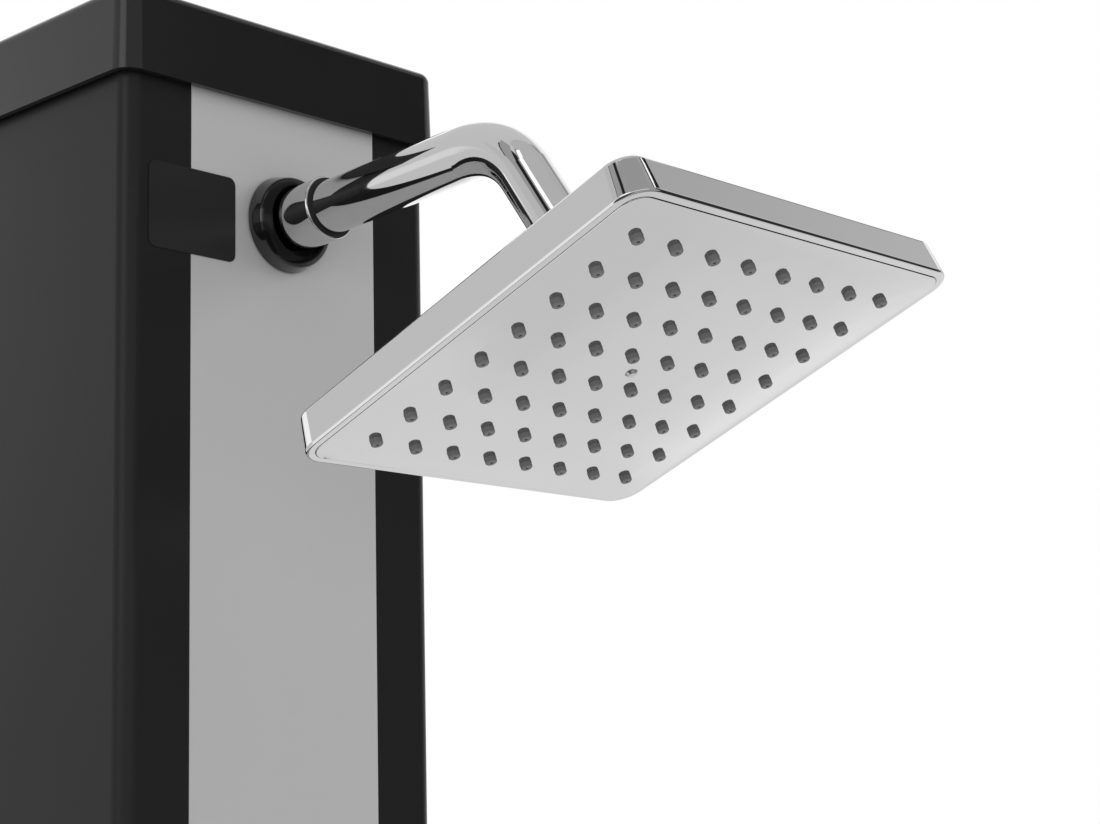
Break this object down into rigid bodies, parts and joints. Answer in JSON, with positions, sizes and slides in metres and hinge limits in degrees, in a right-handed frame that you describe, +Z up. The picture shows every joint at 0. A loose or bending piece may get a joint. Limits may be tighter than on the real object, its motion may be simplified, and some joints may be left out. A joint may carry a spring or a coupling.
{
  "type": "solar shower",
  "caption": "Free-standing solar shower: tall black column tank with a grey front panel, chrome arm, square rain head on a ball joint, single lever mixer and bolt-down base.",
  "frame": {"origin": "on the floor, at the middle of the four anchor holes of the base, under the column", "axes": "+Z up along the column, -Y out of the front panel towards the user, +X to the right of a user who faces the panel"},
  "size_m": [0.26, 0.5079, 2.172],
  "materials": {
    "black_profile": "black satin powder coat on an aluminium extrusion",
    "grey_panel": "satin grey anodised",
    "black_cap": "moulded satin black",
    "black_base": "cast, black satin powder coat",
    "screw_steel": "stainless",
    "label_film": "black adhesive film",
    "arm_chrome": "polished chrome",
    "black_rubber": "matte black rubber",
    "black_gloss": "gloss black moulding",
    "nut_brass": "machined brass",
    "seat_plastic": "natural acetal",
    "head_chrome": "chrome plated moulding",
    "face_satin": "polished chrome plated moulding",
    "grey_silicone": "dark grey silicone",
    "pipe_plastic": "cross-linked polyethylene",
    "hose_rubber": "smooth black rubber",
    "lever_chrome": "polished chrome",
    "disc_ceramic": null,
    "index_plastic": "plain black plug"
  },
  "bodies": {
    "column": {"column_profile": "black_profile", "front_panel": "grey_panel", "top_cap": "black_cap", "base_plate": "black_base", "cap_screws": "screw_steel", "base_screws": "screw_steel", "hose_clamps": "screw_steel", "label_plate": "label_film", "shower_arm": "arm_chrome", "arm_collar": "arm_chrome", "arm_seal_ring": "black_rubber", "arm_flange_gasket": "black_rubber", "tank_grommets": "black_rubber", "drain_seal": "black_rubber", "inlet_gasket": "black_rubber", "arm_flange": "black_gloss", "arm_lock_nut": "nut_brass", "riser_elbow": "nut_brass", "inlet_lock_nut": "nut_brass", "mixer_body": "nut_brass", "mixer_clamp_nut": "nut_brass", "inlet_tee": "nut_brass", "drain_bushing": "nut_brass", "hose_inlet_nipple": "nut_brass", "swivel_ball": "nut_brass", "mixer_cartridge": "seat_plastic", "pipe_clips": "seat_plastic", "tank_bottom_plate": "seat_plastic", "tank_top_plate": "seat_plastic", "cold_pipe": "pipe_plastic", "hot_pipe": "pipe_plastic", "tank_fill_pipe": "pipe_plastic", "riser_hose": "hose_rubber", "mixer_escutcheon": "lever_chrome", "mixer_shroud": "lever_chrome", "mixer_fixed_disc": "disc_ceramic"},
    "ball_seal": {"swivel_seal": "black_rubber"},
    "ball_seat": {"swivel_seat_ring": "seat_plastic"},
    "rain_head": {"swivel_nut": "head_chrome", "head_body": "head_chrome", "head_face_plate": "face_satin", "nozzle_mat": "grey_silicone", "head_gasket": "black_rubber", "head_centre_screw": "screw_steel"},
    "mixer_rotor": {"mixer_turret": "seat_plastic", "mixer_pivot_pin": "screw_steel"},
    "mixer_handle": {"mixer_lever": "lever_chrome", "mixer_stem": "nut_brass", "mixer_index_plug": "index_plastic", "mixer_set_screw": "screw_steel"},
    "mixer_slider": {"mixer_moving_disc": "disc_ceramic"},
    "check_valve": {"check_valve_poppet": "seat_plastic", "check_valve_spring": "screw_steel"},
    "drain_screw": {"drain_plug": "seat_plastic"}
  },
  "joints": [
    {"name": "head_tilt", "type": "hinge", "parent": "column", "child": "ball_seal", "pos_m": [0, -0.28637, 2.00004], "axis": [1, 0, 0], "range_deg": [-33, 7]},
    {"name": "head_roll", "type": "hinge", "parent": "ball_seal", "child": "ball_seat", "pos_m": [0, -0.28637, 2.00004], "axis": [0, 0.9294, -0.3691], "range_deg": [-15, 15]},
    {"name": "head_spin", "type": "hinge", "parent": "ball_seat", "child": "rain_head", "pos_m": [0, -0.28637, 2.00004], "axis": [0, 0.3691, 0.9294], "continuous": true},
    {"name": "mixer_temperature", "type": "hinge", "parent": "column", "child": "mixer_rotor", "pos_m": [0, -0.08, 1.12], "axis": [0, -1, 0], "range_deg": [-45, 45]},
    {"name": "mixer_flow", "type": "hinge", "parent": "mixer_rotor", "child": "mixer_handle", "pos_m": [0, -0.098, 1.12], "axis": [-1, 0, 0], "range_deg": [0, 25]},
    {"name": "mixer_disc_slide", "type": "slide", "parent": "mixer_rotor", "child": "mixer_slider", "axis": [0, 0, -1], "range_m": [0, 0.0054]},
    {"name": "check_valve_lift", "type": "slide", "parent": "column", "child": "check_valve", "axis": [1, 0, 0], "range_m": [0, 0.003], "stiffness_N_per_m": 150, "springref_m": -0.001, "deforming": ["check_valve_spring"]},
    {"name": "drain_plug_turn", "type": "hinge", "parent": "column", "child": "drain_screw", "pos_m": [0, 0.08, 0.13], "axis": [0, 1, 0], "continuous": true}
  ],
  "couplings": [
    {"joint": "mixer_disc_slide", "follows": "mixer_flow", "m_per_rad": 0.0119}
  ]
}
